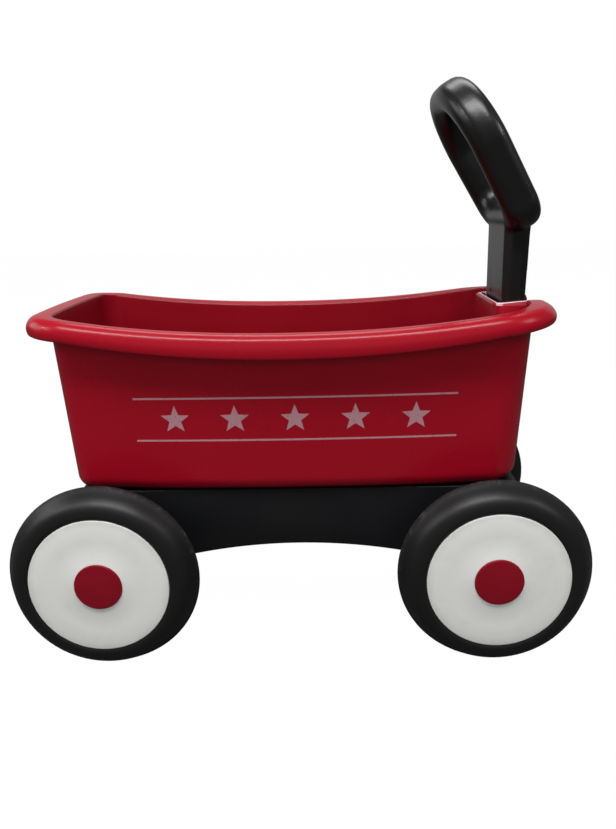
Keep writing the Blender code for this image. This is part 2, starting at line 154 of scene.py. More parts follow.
# Over each point of the plan: the rim's height, how near the point is to the middle of the side
# (1 there, 0 at the ends), and how near to the handle end (1 there, 0 over most of the length).
rim_heights = [
    (RIM_MID_Z + RIM_RISE * (abs(x) / RIM_HALF_LENGTH) ** 2.2, 1 - (x / RIM_HALF_LENGTH) ** 2,
     max(0.0, x / RIM_HALF_LENGTH - 0.7) / 0.3)
    for x, _ in plan(RIM_HALF_LENGTH, RIM_HALF_WIDTH, 0)
]


def ring(half_length, half_width, grow, share, lift, middle=0.0, front=0.0):
    """One level of the tub: share 0 is the flat foot, share 1 follows the sagging rim. The middle
    of each side and the handle end are lifted by a little more or less than the rest."""
    return [
        (x, y, FOOT_Z + (rim - FOOT_Z) * share + lift + middle * sag + front * fore**2)
        for (x, y), (rim, sag, fore) in zip(plan(half_length, half_width, grow), rim_heights)
    ]


def foot_rings(inset):
    radius = BOTTOM_EDGE_R - inset
    made = []
    for step in range(9):
        turn = math.radians(11.25 * step)
        inward = radius * (1 - math.cos(turn)) + inset
        size = BOTTOM_HALF_LENGTH - inward, BOTTOM_HALF_WIDTH - inward
        made.append(ring(*size, -inward, 0, -radius * math.sin(turn)))
    return made


def wall_rings(inset):
    made = []
    for step in range(1, 13):
        share = step / 12
        length = BOTTOM_HALF_LENGTH + (RIM_HALF_LENGTH + WALL - BOTTOM_HALF_LENGTH) * share
        width = BOTTOM_HALF_WIDTH + (RIM_HALF_WIDTH + WALL - BOTTOM_HALF_WIDTH) * share
        size = length - inset, width - inset
        made.append(ring(*size, WALL * share - inset, share, -WALL_TOP_DROP * share))
    return made


def rim_rings(section):
    """Rings that follow the rim: (how far out from its inner edge, height above it). The crown
    stands higher in the middle of each side, and the lip hangs lower there."""
    made = []
    for out, height in section:
        hang = min(1.0, max(0.0, (-height - 0.004) / 0.010))
        middle = CROWN * min(1.0, out / 0.006) - (CROWN + LIP_SAG) * hang * min(1.0, out / 0.012)
        droop = -FRONT_DROOP * out / ROLL_OUT * (1 - hang)
        size = RIM_HALF_LENGTH + out, RIM_HALF_WIDTH + out
        made.append(ring(*size, out, 1, height, middle, droop))
    return made


def tub_rings():
    """All levels, from under the floor up the outside, over the rim and down to the floor inside."""
    centre = ROLL_OUT - ROLL_R
    lip_r = WALL / 2
    lip_x, lip_z = arc((centre, -ROLL_R), ROLL_R - lip_r, ROLL_END_ANGLE, ROLL_END_ANGLE, 1)[0]
    hollow = arc((centre, -ROLL_R), ROLL_R - WALL, 100, ROLL_END_ANGLE, 14)
    lip = arc((lip_x, lip_z), lip_r, ROLL_END_ANGLE + 180, ROLL_END_ANGLE + 360, 8)[1:-1]
    outside = arc((centre, -ROLL_R), ROLL_R, ROLL_END_ANGLE, 90, 22)
    crest = [(0.0085, -0.0001), (0.0062, -0.0003), (0.0042, -0.0005), (0.0030, -0.0007)]
    edge = arc((0.0018, -0.0026), 0.0018, 85, 180, 7)
    rings = list(reversed(foot_rings(0)))
    rings += wall_rings(0) + rim_rings([(0.0042, -0.0052)] + hollow + lip + outside + crest + edge)
    rings += list(reversed(wall_rings(WALL))) + foot_rings(WALL)
    return rings


def loft(name, rings, closed=False):
    """A grid of faces whose rows are laid on the rings and joined round. Its two ends are filled,
    or joined to each other when the rings go right round."""
    around = len(rings[0])
    bpy.ops.mesh.primitive_grid_add(x_subdivisions=around, y_subdivisions=len(rings) - 1)
    piece = bpy.context.object
    piece.name = name
    for index, point in enumerate(piece.data.vertices):
        row, column = divmod(index, around + 1)
        point.co = rings[row][column % around]
    select_only(piece)
    bpy.ops.object.mode_set(mode="EDIT")
    bpy.ops.mesh.select_all(action="SELECT")
    bpy.ops.mesh.remove_doubles(threshold=0.00001)
    if not closed:
        bpy.ops.mesh.select_all(action="DESELECT")
        bpy.ops.mesh.select_non_manifold()
        bpy.ops.mesh.edge_face_add()
        bpy.ops.mesh.select_all(action="SELECT")
    bpy.ops.mesh.normals_make_consistent(inside=False)
    bpy.ops.object.mode_set(mode="OBJECT")
    return piece


def solid(name, outline, axis, low, high):
    """A flat outline in the two other axes, drawn out from low to high along the axis."""
    def place(u, v, w):
        return {"X": (w, u, v), "Y": (u, w, v), "Z": (u, v, w)}[axis]

    mesh = bpy.data.meshes.new(name)
    mesh.from_pydata([place(u, v, low) for u, v in outline], [], [range(len(outline))])
    piece = bpy.data.objects.new(name, mesh)
    bpy.context.scene.collection.objects.link(piece)
    select_only(piece)
    bpy.ops.object.mode_set(mode="EDIT")
    bpy.ops.mesh.select_all(action="SELECT")
    shift = place(0, 0, high - low)
    bpy.ops.mesh.extrude_region_move(TRANSFORM_OT_translate={"value": shift})
    bpy.ops.mesh.select_all(action="SELECT")
    bpy.ops.mesh.normals_make_consistent(inside=False)
    bpy.ops.object.mode_set(mode="OBJECT")
    return piece


def peg(radius, x, y, low, high):
    """An upright round peg."""
    bpy.ops.mesh.primitive_cylinder_add(
        vertices=32, radius=radius, depth=high - low, location=(x, y, (low + high) / 2)
    )
    piece = bpy.context.object
    select_only(piece)
    bpy.ops.object.transform_apply(location=True, rotation=True, scale=True)
    return piece


def round_edges(piece, width, segments, chosen):
    """Rounds the edges whose two ends both pass the test."""
    select_only(piece)
    bpy.ops.object.mode_set(mode="EDIT")
    bpy.ops.mesh.select_all(action="DESELECT")
    bpy.ops.mesh.select_mode(type="EDGE")
    bpy.ops.object.mode_set(mode="OBJECT")
    points = piece.data.vertices
    for edge in piece.data.edges:
        edge.select = chosen(points[edge.vertices[0]].co, points[edge.vertices[1]].co)
    bpy.ops.object.mode_set(mode="EDIT")
    bpy.ops.mesh.bevel(offset=width, segments=segments, affect="EDGES")
    bpy.ops.object.mode_set(mode="OBJECT")


def apply_step(piece, kind, **settings):
    select_only(piece)
    step = piece.modifiers.new(kind.lower(), kind)
    for name, value in settings.items():
        setattr(step, name, value)
    bpy.ops.object.modifier_apply(modifier=step.name)


def cut(piece, tool, operation="DIFFERENCE"):
    apply_step(piece, "BOOLEAN", object=tool, operation=operation)
    bpy.data.objects.remove(tool)


def smooth(piece, angle=35):
    select_only(piece)
    bpy.ops.object.shade_smooth_by_angle(angle=math.radians(angle))


def pocket():
    """The wall round the post, with round corners and a softly rounded top edge."""
    inner_floor = TUB_LOW[2] + WALL / 2
    end_top = RIM_HALF_LENGTH + 0.0005
    side = [
        (POCKET_X, inner_floor), (0.1760, inner_floor), (0.1835, inner_floor + 0.006),
        (BOTTOM_HALF_LENGTH - WALL, inner_floor + 0.0145), (end_top, TUB_HIGH[2] - 0.0008),
        (POCKET_X, POCKET_TOP_Z),
    ]
    block = solid("pocket", side, "Y", -POCKET_HALF_WIDTH, POCKET_HALF_WIDTH)

    def upright(a, b):
        return max(abs(a.x - POCKET_X), abs(b.x - POCKET_X), abs(a.y - b.y)) < NEAR

    def top_edge(a, b):
        top = min(a.z, b.z) > TUB_HIGH[2] - 0.005
        within = max(a.x, b.x) < end_top + NEAR and min(a.x, b.x) < end_top - 0.001
        flat_across = max(abs(a.y), abs(b.y)) < POCKET_HALF_WIDTH - NEAR
        along_side = abs(abs(a.y) - POCKET_HALF_WIDTH) < NEAR and abs(a.y - b.y) < NEAR
        return top and within and (along_side or flat_across or a.x != b.x)

    round_edges(block, POCKET_CORNER_R, 6, upright)
    round_edges(block, POCKET_TOP_EDGE, 3, top_edge)
    return block


def channel_outline():
    half = CHANNEL_HALF_WIDTH
    right = [(CHANNEL_X, CHANNEL_CHAMFER - half), (CHANNEL_X + CHANNEL_CHAMFER, -half),
             (CHANNEL_MOUTH_X, -half)]
    return right + [(x, -y) for x, y in reversed(right)]


def channel_mouth():
    """The countersink that breaks the sharp edge round the channel's top."""
    above, below, top_slope = 0.0060, 0.0011, 0.085
    spread = above + below
    mouth = solid("mouth", channel_outline(), "Z", 0.0, 1.0)
    for point in mouth.data.vertices:
        top = point.co.z > 0.5
        surface = POCKET_TOP_Z + (min(point.co.x, RIM_HALF_LENGTH) - POCKET_X) * top_slope
        point.co.z = surface + (above if top else -below)
        if top:
            point.co.x += spread if point.co.x > 0.2 else -spread
            point.co.y += math.copysign(spread, point.co.y)
    return mouth


tub = loft("tub_body", tub_rings())
cut(tub, pocket(), "UNION")
cut(tub, solid("channel", channel_outline(), "Z", TUB_LOW[2] - 0.010, TUB_HIGH[2] + 0.030))
cut(tub, channel_mouth())
pad_root_x = CHANNEL_X - 0.001
stop_pad = [(pad_root_x, PAD_HIGH_Z), (pad_root_x, PAD_LOW_Z),
            (PAD_FACE_X, PAD_LOW_Z + PAD_SLANT), (PAD_FACE_X, PAD_HIGH_Z - PAD_SLANT)]
cut(tub, solid("stop_pad", stop_pad, "Y", -PAD_HALF_WIDTH, PAD_HALF_WIDTH), "UNION")
for x, y in SCREW_SPOTS:
    boss = peg(BOSS_R, x, y, BOSS_LOW_Z, BOSS_TOP_Z)
    round_edges(boss, 0.0015, 3, lambda a, b: min(a.z, b.z) > BOSS_TOP_Z - 0.001)
    cut(tub, boss, "UNION")
smooth(tub)


class Value:
    """A shader socket that takes part in plain arithmetic."""

    def __init__(self, finish, socket):
        self.finish = finish
        self.socket = socket

    def __add__(self, other):
        return self.finish.math("ADD", self, other)

    def __sub__(self, other):
        return self.finish.math("SUBTRACT", self, other)

    def __rsub__(self, other):
        return self.finish.math("SUBTRACT", other, self)

    def __mul__(self, other):
        return self.finish.math("MULTIPLY", self, other)

    def __truediv__(self, other):
        return self.finish.math("DIVIDE", self, other)

    def __rtruediv__(self, other):
        return self.finish.math("DIVIDE", other, self)

    def __pow__(self, power):
        return self.finish.math("POWER", self, power)

    def __lt__(self, other):
        return self.finish.math("LESS_THAN", self, other)

    def __gt__(self, other):
        return self.finish.math("GREATER_THAN", self, other)

    def __abs__(self):
        return self.finish.math("ABSOLUTE", self)

    __radd__ = __add__
    __rmul__ = __mul__


class Finish:
    """A procedural material on a Principled shader."""

    def __init__(self, name, roughness, metallic=0.0, specular=0.5, coat=0.0, coat_roughness=0.1):
        self.material = bpy.data.materials.new(name)
        self.material.use_nodes = True
        self.tree = self.material.node_tree
        self.shader = self.tree.nodes["Principled BSDF"]
        self.set(Roughness=roughness, Metallic=metallic)
        self.shader.inputs["Specular IOR Level"].default_value = specular
        self.shader.inputs["Coat Weight"].default_value = coat
        self.shader.inputs["Coat Roughness"].default_value = coat_roughness
        self.place = self.node("ShaderNodeTexCoord", out="Object")
        self.facing = self.node("ShaderNodeTexCoord", out="Normal")

    def feed(self, socket, value):
        if isinstance(value, Value):
            self.tree.links.new(value.socket, socket)
        else:
            socket.default_value = value

    def set(self, **inputs):
        for name, value in inputs.items():
            self.feed(self.shader.inputs[name.replace("_", " ")], value)

    def node(self, kind, settings=None, inputs=None, out=0):
        """A node of that kind: its settings are set first, then its sockets' values or links."""
        made = self.tree.nodes.new(kind)
        for name, value in (settings or {}).items():
            setattr(made, name, value)
        for name, value in (inputs or {}).items():
            self.feed(made.inputs[name], value)
        return Value(self, made.outputs[out])

    def math(self, operation, *values):
        return self.node("ShaderNodeMath", {"operation": operation}, dict(enumerate(values)))

    def axes(self, vector):
        return [self.node("ShaderNodeSeparateXYZ", inputs={0: vector}, out=axis) for axis in "XYZ"]

    def noise(self, scale, detail=2.0, roughness=0.5):
        inputs = {"Vector": self.place, "Scale": scale, "Detail": detail, "Roughness": roughness}
        return self.node("ShaderNodeTexNoise", inputs=inputs)

    def mix(self, amount, first, second):
        """Two colours, mixed by amount."""
        return self.node("ShaderNodeMix", {"data_type": "RGBA"}, {0: amount, 6: first, 7: second}, out=2)

    def bump(self, height, depth, strength=1.0):
        """A fine relief, depth in metres."""
        inputs = {"Height": height, "Distance": depth, "Strength": strength}
        return self.node("ShaderNodeBump", inputs=inputs)

    def step(self, value, low, high):
        """0 below low, 1 above high, and smooth between them."""
        inputs = {0: value, 1: low, 2: high, 3: 0.0, 4: 1.0}
        return self.node("ShaderNodeMapRange", {"interpolation_type": "SMOOTHSTEP"}, inputs)


def dress(piece, finish, node, body):
    """Gives a piece its finish, hides the imported part that it stands for, and hangs it on the body that
    it moves with.
    """
    piece.data.materials.clear()
    piece.data.materials.append(finish.material)
    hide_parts(node)
    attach(piece, body)


STAR_Z = 0.206
STAR_COUNT = 5
STAR_PITCH = 0.050
STAR_R = 0.0125
STAR_NOTCH_R = STAR_R * 0.42
STRIPE_GAP = 0.0185
STRIPE_HALF = 0.0008
STRIPE_REACH = 0.134
PRINT_BLUR = 0.00015


def star_print(finish):
    """1 on the printed row of five-pointed stars and the thin line above and below it."""
    x, y, z = finish.axes(finish.place)
    outside = y * finish.axes(finish.facing)[1] > 0.02
    cell = x / STAR_PITCH
    across = (cell - finish.math("ROUND", cell)) * STAR_PITCH
    up = z - STAR_Z
    distance = (across * across + up * up) ** 0.5
    turn = finish.math("ARCTAN2", across, up) / math.radians(72)
    fold = abs(turn - finish.math("ROUND", turn)) * math.radians(72)
    point, notch, half = STAR_R, STAR_NOTCH_R, math.radians(36)
    edge_foot = finish.math("SINE", fold) * point + finish.math("SINE", half - fold) * notch
    edge = point * notch * math.sin(half) / edge_foot
    stars = finish.step(edge - distance, -PRINT_BLUR, PRINT_BLUR) * (abs(cell) < STAR_COUNT / 2)
    stripes = finish.step(STRIPE_HALF - abs(abs(up) - STRIPE_GAP), -PRINT_BLUR, PRINT_BLUR)
    stripes = stripes * (abs(x) < STRIPE_REACH)
    return outside * finish.math("MAXIMUM", stars, stripes)


RED = (0.360, 0.0045, 0.016, 1)
DEEP_RED = (0.300, 0.0030, 0.012, 1)
SHADED_RED = (0.10, 0.0008, 0.003, 1)
# The pale pink below is a painted highlight for the top edge of the channel's mouth.
PAINTED_EDGE_HIGHLIGHT = (0.80, 0.50, 0.58, 1)
INK = (0.46, 0.24, 0.27, 1)
PAINTED_HIGHLIGHT_LOW_Z = TUB_HIGH[2] - 0.0052
PAINTED_HIGHLIGHT_END_X = 0.2025

tub_red = Finish("tub_red_plastic", 0.24, specular=0.22, coat=0.10, coat_roughness=0.08)
mottle = tub_red.noise(9.0, 3.0)
smears = tub_red.noise(14.0, 2.0, 0.5)
printed = star_print(tub_red)
worn_ink = printed * tub_red.step(tub_red.noise(420.0, 4.0, 0.7), 0.28, 0.42)
x, y, z = tub_red.axes(tub_red.place)
facing_x, facing_y = tub_red.axes(tub_red.facing)[:2]
# Painted highlight: a pale band along the top edge of the channel's mouth, where the edge would catch the
# light.
from_channel = tub_red.math("MAXIMUM", abs(y) - CHANNEL_HALF_WIDTH, CHANNEL_X - x)
painted_highlight_mask = tub_red.step(0.0018 - abs(from_channel - 0.0010), 0.0, 0.0005)
painted_highlight_mask = painted_highlight_mask * (z > PAINTED_HIGHLIGHT_LOW_Z) * (x < PAINTED_HIGHLIGHT_END_X)
# Painted shade: faces that look into the tub are darkened halfway towards the shaded red.
inner = tub_red.step(0 - x * facing_x - y * facing_y, 0.01, 0.06)
plain = tub_red.mix(mottle, DEEP_RED, RED)
plain = tub_red.mix(inner * 0.5, plain, SHADED_RED)
plastic = tub_red.mix(painted_highlight_mask * 0.85, plain, PAINTED_EDGE_HIGHLIGHT)
tub_red.set(
    Base_Color=tub_red.mix(worn_ink, plastic, INK),
    Roughness=0.22 + smears * 0.14 + printed * 0.18,
    Normal=tub_red.bump(tub_red.noise(60.0, 2.0) + printed * 0.4, 0.00004),
)
dress(tub, tub_red, "tub", "wagon_body")


# ---- Chassis: an inverted tray of black polypropylene under the tub, with an arched skirt, cross
# ribs, a tunnel for each axle and two ears that stand up into the channel and hold the pin. ----
CHASSIS_TOP_Z = TUB_LOW[2] - 0.0003
CHASSIS_HALF_LENGTH = 0.1900
CHASSIS_HALF_WIDTH = 0.0765
ARCH_TOP_Z = 0.088
ARCH_R = 0.480
SKIRT_FOOT_X = 0.166
SKIRT_CORNER_R = 0.018
SKIRT_DRAFT = 0.002
RIB_THICKNESS = 0.003
MID_RIB_X = 0.062
MID_RIB_LIFT = 0.012
TUNNEL_R = 0.009
EAR_BACK_X = 0.1788
EAR_R = 0.0078
EAR_INNER_Y = 0.0335
EAR_OUTER_Y = 0.0393
SCREW_HOLE_R = 0.0021
BORE_GAP = 0.0003
AXLE_X = (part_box("axle_front")[0][0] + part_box("axle_front")[1][0]) / 2
AXLE_R = (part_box("axle_front")[1][0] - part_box("axle_front")[0][0]) / 2
AXLE_Z = (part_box("axle_front")[0][2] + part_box("axle_front")[1][2]) / 2
PIN_LOW, PIN_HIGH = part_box("handle_pin")
PIVOT_X = (PIN_LOW[0] + PIN_HIGH[0]) / 2
PIVOT_Z = (PIN_LOW[2] + PIN_HIGH[2]) / 2
PIN_R = (PIN_HIGH[0] - PIN_LOW[0]) / 2


def arch_z(x):
    return ARCH_TOP_Z - ARCH_R + math.sqrt(ARCH_R**2 - x**2)


def bar(name, radius, low, high, x, z):
    """A round bar along Y."""
    bpy.ops.mesh.primitive_cylinder_add(
        vertices=48, radius=radius, depth=high - low, location=(x, (low + high) / 2, z),
        rotation=(math.pi / 2, 0, 0),
    )
    piece = bpy.context.object
    piece.name = name
    select_only(piece)
    bpy.ops.object.transform_apply(location=True, rotation=True, scale=True)
    return piece


def cross_rib(x, foot_z):
    top, back, fore = CHASSIS_TOP_Z - 0.001, x - RIB_THICKNESS / 2, x + RIB_THICKNESS / 2
    side = [(back, foot_z), (fore, foot_z), (fore, top), (back, top)]
    half = CHASSIS_HALF_WIDTH - WALL + 0.001
    return solid("rib", side, "Y", -half, half)


foot_z = arch_z(SKIRT_FOOT_X)
skirt_centre = (CHASSIS_HALF_LENGTH - SKIRT_DRAFT - SKIRT_CORNER_R, foot_z + SKIRT_CORNER_R)
skirt_end = [(CHASSIS_HALF_LENGTH, CHASSIS_TOP_Z)] + arc(skirt_centre, SKIRT_CORNER_R, 0, -78, 12)
skirt_arch = [(SKIRT_FOOT_X * i / 24, arch_z(SKIRT_FOOT_X * i / 24)) for i in range(23, -24, -1)]
skirt = skirt_end + skirt_arch + [(-x, z) for x, z in reversed(skirt_end)]
chassis = solid("chassis_tray", skirt, "Y", -CHASSIS_HALF_WIDTH, CHASSIS_HALF_WIDTH)
round_edges(chassis, 0.0015, 3, lambda a, b: abs(a.y - b.y) < 1e-5)
inside_x, inside_top = CHASSIS_HALF_LENGTH - WALL, CHASSIS_TOP_Z - WALL
inside = [(inside_x, inside_top), (inside_x, 0.04), (-inside_x, 0.04), (-inside_x, inside_top)]
cut(chassis, solid("hollow", inside, "Y", WALL - CHASSIS_HALF_WIDTH, CHASSIS_HALF_WIDTH - WALL))
for end in (-1, 1):
    cut(chassis, cross_rib(end * AXLE_X, AXLE_Z), "UNION")
    reach = CHASSIS_HALF_WIDTH + 0.0005
    cut(chassis, bar("tunnel", TUNNEL_R, -reach, reach, end * AXLE_X, AXLE_Z), "UNION")
    cut(chassis, bar("bore", AXLE_R + BORE_GAP, -0.1, 0.1, end * AXLE_X, AXLE_Z))
    cut(chassis, cross_rib(end * MID_RIB_X, arch_z(MID_RIB_X) + MID_RIB_LIFT), "UNION")
    ear = [(EAR_BACK_X, CHASSIS_TOP_Z - 0.001), (PIVOT_X, CHASSIS_TOP_Z - 0.001)]
    ear += arc((PIVOT_X, PIVOT_Z), EAR_R, -30, 180, 24)
    low, high = sorted((end * EAR_INNER_Y, end * EAR_OUTER_Y))
    cut(chassis, solid("ear", ear, "Y", low, high), "UNION")
cut(chassis, bar("pin_bore", PIN_R + BORE_GAP, -0.05, 0.05, PIVOT_X, PIVOT_Z))
for x, y in SCREW_SPOTS:
    cut(chassis, peg(SCREW_HOLE_R, x, y, CHASSIS_TOP_Z - 0.01, CHASSIS_TOP_Z + 0.01))
smooth(chassis)

chassis_black = Finish("chassis_black_plastic", 0.42, specular=0.25)
grain = chassis_black.noise(900.0, 3.0, 0.6)
dust = chassis_black.noise(18.0, 5.0, 0.6)
chassis_black.set(
    Base_Color=chassis_black.mix(dust, (0.0045, 0.0047, 0.0055, 1), (0.0085, 0.0087, 0.0095, 1)),
    Roughness=0.34 + dust * 0.20,
    Normal=chassis_black.bump(grain, 0.00008),
)
dress(chassis, chassis_black, "chassis", "wagon_body")


# ---- Axles, pivot pin and screws: zinc-plated steel. The axles run through the chassis tunnels, the
# pin is held in the two ears, and the screws go up through the chassis into the tub's bosses. ----
THREAD_R = 0.0014
THREAD_ROOT_R = 0.0010
THREAD_PITCH = 0.0011
SCREW_HEAD_R = 0.0042


def spun(name, profile, steps, centre, side):
    """A turned piece: (radius, how far out along the axle) spun round the axle at the centre."""
    mesh = bpy.data.meshes.new(name)
    x, y, z = centre
    points = [(x + r, y + side * out, z) for r, out in profile]
    mesh.from_pydata(points, [(i, i + 1) for i in range(len(points) - 1)], [])
    piece = bpy.data.objects.new(name, mesh)
    bpy.context.scene.collection.objects.link(piece)
    select_only(piece)
    bpy.ops.object.mode_set(mode="EDIT")
    bpy.ops.mesh.select_all(action="SELECT")
    bpy.ops.mesh.spin(steps=steps, angle=2 * math.pi, center=centre, axis=(0, 1, 0))
    bpy.ops.mesh.select_all(action="SELECT")
    bpy.ops.mesh.remove_doubles(threshold=0.000005)
    bpy.ops.mesh.normals_make_consistent(inside=False)
    bpy.ops.object.mode_set(mode="OBJECT")
    smooth(piece)
    return piece


zinc = Finish("zinc_steel", 0.34, metallic=1.0)
spangle = zinc.noise(240.0, 3.0)
zinc.set(
    Base_Color=zinc.mix(spangle, (0.46, 0.47, 0.49, 1), (0.66, 0.67, 0.68, 1)),
    Roughness=0.26 + spangle * 0.2,
    Normal=zinc.bump(zinc.noise(1500.0, 2.0), 0.00003),
)


def rod_profile(radius, half, bevel=0.0006):
    return [(0, -half), (radius - bevel, -half), (radius, bevel - half),
            (radius, half - bevel), (radius - bevel, half), (0, half)]


axle_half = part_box("axle_front")[1][1]
for end_name, end in (("front", 1), ("rear", -1)):
    axle = spun(f"steel_axle_{end_name}", rod_profile(AXLE_R, axle_half), 48, (end * AXLE_X, 0, AXLE_Z), 1)
    dress(axle, zinc, f"axle_{end_name}", "wagon_body")
pin = spun("steel_pin", rod_profile(PIN_R, PIN_HIGH[1]), 48, (PIVOT_X, 0, PIVOT_Z), 1)
dress(pin, zinc, "handle_pin", "wagon_body")

head_top = CHASSIS_TOP_Z - WALL - 0.0003
screw_profile = [(0, 0.0091), (0.0005, 0.0091)]
for turn in range(7):
    level = 0.0080 - THREAD_PITCH * turn
    screw_profile += [(THREAD_R, level), (THREAD_ROOT_R, level - THREAD_PITCH / 2)]
screw_profile += [(THREAD_R, 0), (SCREW_HEAD_R, 0), (SCREW_HEAD_R, -0.0006), (0.0038, -0.0016),
                  (0.0026, -0.0023), (0, -0.0026)]
cross_arm = [(-0.0004, -0.0020), (0.0004, -0.0020), (0.0004, 0.0020), (-0.0004, 0.0020)]
for number, (x, y) in enumerate(SCREW_SPOTS, 1):
    screw = spun(f"screw_{number}", screw_profile, 32, (0, 0, 0), 1)
    for angle in (45, -45):
        slot_cut = solid("cross", cross_arm, "Y", -0.0040, -0.0012)
        slot_cut.data.transform(Matrix.Rotation(math.radians(angle), 4, "Y"))
        cut(screw, slot_cut)
    screw.data.transform(Matrix.Translation((x, y, head_top)) @ Matrix.Rotation(math.pi / 2, 4, "X"))
    smooth(screw)
    dress(screw, zinc, f"tub_screw_{number}", "wagon_body")


# ---- Wheels: a blow-moulded black tyre and dish in one piece, an off-white disc pressed into its
# face, and a red cap clipped over the steel push nut that grips the axle's end. A steel washer
# keeps each hub off the chassis. ----
FACE_Y = 0.1365
DISC_R = 0.058
CAP_R = 0.0199


def curve_through(points, steps):
    """A smooth line through the points, by Catmull and Rom's rule."""
    ends = [points[0]] + points + [points[-1]]
    made = []
    for i in range(len(points) - 1):
        a, b, c, d = (Vector(p) for p in ends[i:i + 4])
        for step in range(steps):
            t = step / steps
            made.append(tuple(
                0.5 * (2 * b + (c - a) * t + (2 * a - 5 * b + 4 * c - d) * t**2
                       + (3 * b - a - 3 * c + d) * t**3)
            ))
    return made + [points[-1]]


def tyre_profile():
    """The rounded tread, the dish behind it and the long hub, as (radius, how far out)."""
    rim_in, seat_in = DISC_R + 0.0003, DISC_R - 0.0035
    bore = AXLE_R + 0.0001
    tread = curve_through([
        (0.0592, -0.0002), (0.0612, 0.0003), (0.0662, -0.0006), (0.0704, -0.0030), (0.0738, -0.0070),
        (0.0769, -0.0126), (0.0792, -0.0166), (0.0800, -0.0192), (0.0789, -0.0226), (0.0757, -0.0262),
        (0.0700, -0.0292), (0.0620, -0.0300),
    ], 5)
    back = [(0.0605, -0.0297), (0.0595, -0.0290), (0.0590, -0.0275), (0.0150, -0.0275), (0.0130, -0.0283),
            (0.0120, -0.0305), (0.0098, -0.0570), (0.0092, -0.0577), (bore, -0.0577)]
    inside = [(bore, -0.0115), (0.0120, -0.0115), (0.0120, -0.0235), (0.0685, -0.0235),
              (0.0740, -0.0205), (0.0748, -0.0170), (0.0672, -0.0056), (seat_in, -0.0056),
              (seat_in, -0.0028), (rim_in, -0.0028)]
    start = (rim_in, -0.0008)
    return [start] + tread + back + inside + [start]


def disc_profile():
    """A thin plate with a low raised ring round the cap."""
    hole = CAP_R - 0.0028
    edge = arc((DISC_R - 0.0008, -0.0008), 0.0008, 90, 0, 4)
    return [(hole, -0.0025), (hole, 0.0001), (CAP_R + 0.0016, 0.0001), (CAP_R + 0.0026, -0.0002),
            (0.040, -0.0002)] + edge + [(DISC_R, -0.0025), (hole, -0.0025)]


def cap_profile():
    """A low crown with a round edge and a skirt that clips into the disc's hole."""
    crown = [(CAP_R * i / 8, 0.0024 - 0.0009 * (i / 8) ** 2) for i in range(8)]
    edge = arc((CAP_R - 0.0011, 0.0006), 0.0011, 75, 0, 5)
    return crown + edge + [(CAP_R, 0.0003), (0.0162, 0.0003), (0.0160, -0.0065), (0.0143, -0.0065),
                           (0.0143, -0.0002), (0, 0.0002)]


def nut_profile():
    """A dished push nut, which bites on the axle."""
    bore = AXLE_R + 0.0003
    return [(bore, -0.0075), (0.0060, -0.0080), (0.0090, -0.0104), (0.0085, -0.0110), (bore, -0.0092),
            (bore, -0.0075)]


def washer_profile():
    bore = AXLE_R + 0.0003
    return [(bore, -0.0580), (0.0084, -0.0580), (0.0086, -0.0582), (0.0086, -0.0590), (0.0084, -0.0592),
            (bore, -0.0592), (bore, -0.0580)]


tyre_black = Finish("tyre_black_plastic", 0.36, specular=0.35)
x, y, z = tyre_black.axes(tyre_black.place)
from_axle = ((abs(x) - AXLE_X) ** 2 + (z - AXLE_Z) ** 2) ** 0.5
rolled = tyre_black.step(from_axle, 0.0772, 0.0796)
scuffs = tyre_black.noise(210.0, 6.0, 0.75)
haze = tyre_black.noise(24.0, 4.0, 0.6)
tyre_black.set(
    Base_Color=tyre_black.mix(rolled * tyre_black.step(scuffs, 0.50, 0.66), (0.0085, 0.0085, 0.0090, 1),
                              (0.045, 0.044, 0.042, 1)),
    Roughness=0.36 + haze * 0.12 + rolled * 0.20,
    Normal=tyre_black.bump(tyre_black.noise(1100.0, 3.0, 0.6), 0.00006),
)

disc_white = Finish("disc_white_plastic", 0.46)
x, y, z = disc_white.axes(disc_white.place)
from_axle = ((abs(x) - AXLE_X) ** 2 + (z - AXLE_Z) ** 2) ** 0.5
soil = disc_white.noise(38.0, 6.0, 0.7)
# The disc is made greyer towards its outer edge.
edge_darkening = disc_white.step(from_axle, 0.050, 0.0585) * 0.35
disc_white.set(
    Base_Color=disc_white.mix(disc_white.step(soil + edge_darkening, 0.45, 1.0), (0.760, 0.765, 0.735, 1),
                              (0.64, 0.64, 0.60, 1)),
    Roughness=0.38 + soil * 0.18,
    Normal=disc_white.bump(disc_white.noise(700.0, 3.0, 0.6), 0.00004),
)

cap_red = Finish("cap_red_plastic", 0.34, specular=0.25)
cap_mottle = cap_red.noise(60.0, 4.0, 0.6)
cap_red.set(
    Base_Color=cap_red.mix(cap_mottle, (0.195, 0.0035, 0.010, 1), (0.245, 0.0050, 0.015, 1)),
    Roughness=0.30 + cap_mottle * 0.15,
    Normal=cap_red.bump(cap_red.noise(800.0, 2.0), 0.00003),
)

for end_name, end in (("front", 1), ("rear", -1)):
    for side_name, side in (("left", 1), ("right", -1)):
        where = f"{end_name}_{side_name}"
        centre = (end * AXLE_X, side * FACE_Y, AXLE_Z)
        body = f"wheel_{where}"
        dress(spun(f"wheel_tyre_{where}", tyre_profile(), 96, centre, side), tyre_black,
              f"tyre_{where}", body)
        dress(spun(f"wheel_disc_{where}", disc_profile(), 96, centre, side), disc_white,
              f"disc_{where}", body)
        dress(spun(f"wheel_cap_{where}", cap_profile(), 64, centre, side), cap_red,
              f"cap_{where}", body)
        dress(spun(f"axle_nut_{where}", nut_profile(), 40, centre, side), zinc,
              f"push_nut_{where}", "wagon_body")
        dress(spun(f"hub_washer_{where}", washer_profile(), 40, centre, side), zinc,
              f"washer_{where}", "wagon_body")


